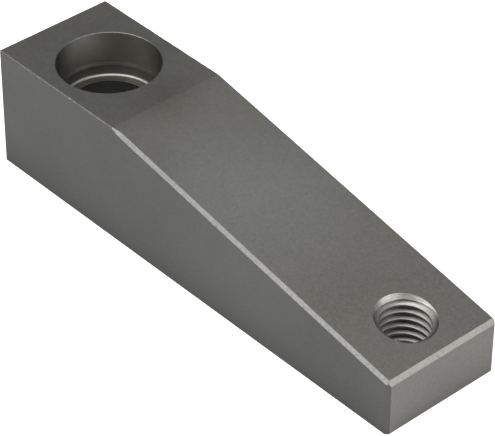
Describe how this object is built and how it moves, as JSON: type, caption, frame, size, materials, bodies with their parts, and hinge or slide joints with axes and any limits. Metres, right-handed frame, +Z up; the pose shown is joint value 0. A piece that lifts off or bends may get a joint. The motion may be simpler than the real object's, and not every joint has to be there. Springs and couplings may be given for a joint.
{
  "type": "strap clamp",
  "caption": "Tapered steel clamp strap: a seated through bore in its thick heel takes the clamp rod and its nut, and a tapped hole in its thin nose takes the contact screw.",
  "frame": {"origin": "on the axis of the rod bore, in the flat bottom face", "axes": "+X along the bar from the heel to the nose, +Y across the bar, +Z up out of the flat top"},
  "size_m": [0.115, 0.028, 0.0278],
  "materials": {
    "steel": "fine matt ground and shot-blasted steel, dark grey, unpainted"
  },
  "bodies": {
    "root": {"strap_clamp": "steel"}
  },
  "joints": []
}
